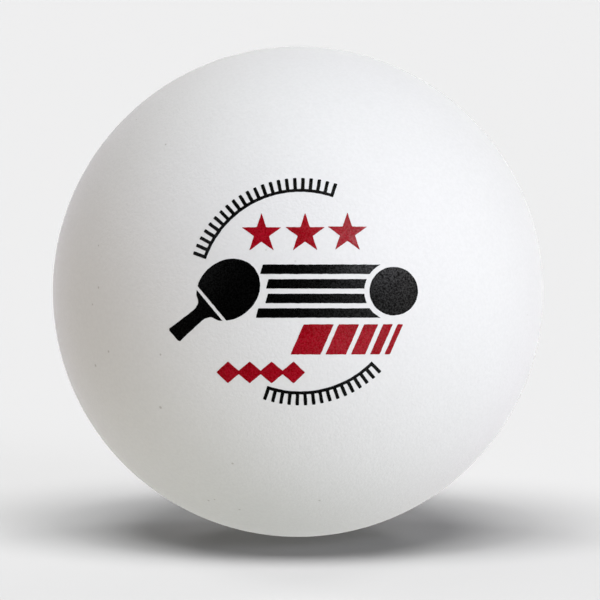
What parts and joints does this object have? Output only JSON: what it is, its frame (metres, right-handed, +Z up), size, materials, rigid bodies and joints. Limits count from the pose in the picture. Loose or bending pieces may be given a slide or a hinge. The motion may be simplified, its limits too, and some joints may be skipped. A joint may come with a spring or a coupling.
{
  "type": "table tennis ball",
  "caption": "Hollow white plastic table tennis ball made of half shells cemented at a lap joint, with a printed red and black stamp of stars, a bat and a flying ball.",
  "frame": {"origin": "centre of the ball", "axes": "+Z up; Y is the pole-to-pole axis of the two half shells, with the seam in the plane y = 0 and the printed half on -Y; +X to the right as seen from the printed side; the middle of the stamp is 7 degrees above -Y"},
  "size_m": [0.0402, 0.0402, 0.0402],
  "materials": {
    "shell_white": "fine matte moulded ABS, unpolished, slightly grained",
    "shell_white_back": "fine matte moulded ABS, unpolished, slightly grained",
    "cement": "set solvent cement, smooth and slightly yellowish",
    "ink_red": "pad-printed ink, satin",
    "ink_black": "pad-printed ink, satin"
  },
  "bodies": {
    "root": {"half_shell_front": "shell_white", "half_shell_back": "shell_white_back", "seam_cement": "cement", "ink_star_left": "ink_red", "ink_star_middle": "ink_red", "ink_star_right": "ink_red", "ink_stripe_1": "ink_red", "ink_stripe_2": "ink_red", "ink_stripe_3": "ink_red", "ink_stripe_4": "ink_red", "ink_stripe_5": "ink_red", "ink_diamond_row": "ink_red", "ink_ticks_upper": "ink_black", "ink_ticks_lower": "ink_black", "ink_bat_blade": "ink_black", "ink_bat_grip": "ink_black", "ink_speed_line_1": "ink_black", "ink_speed_line_2": "ink_black", "ink_speed_line_3": "ink_black", "ink_speed_line_4": "ink_black", "ink_ball_dot": "ink_black"}
  },
  "joints": []
}
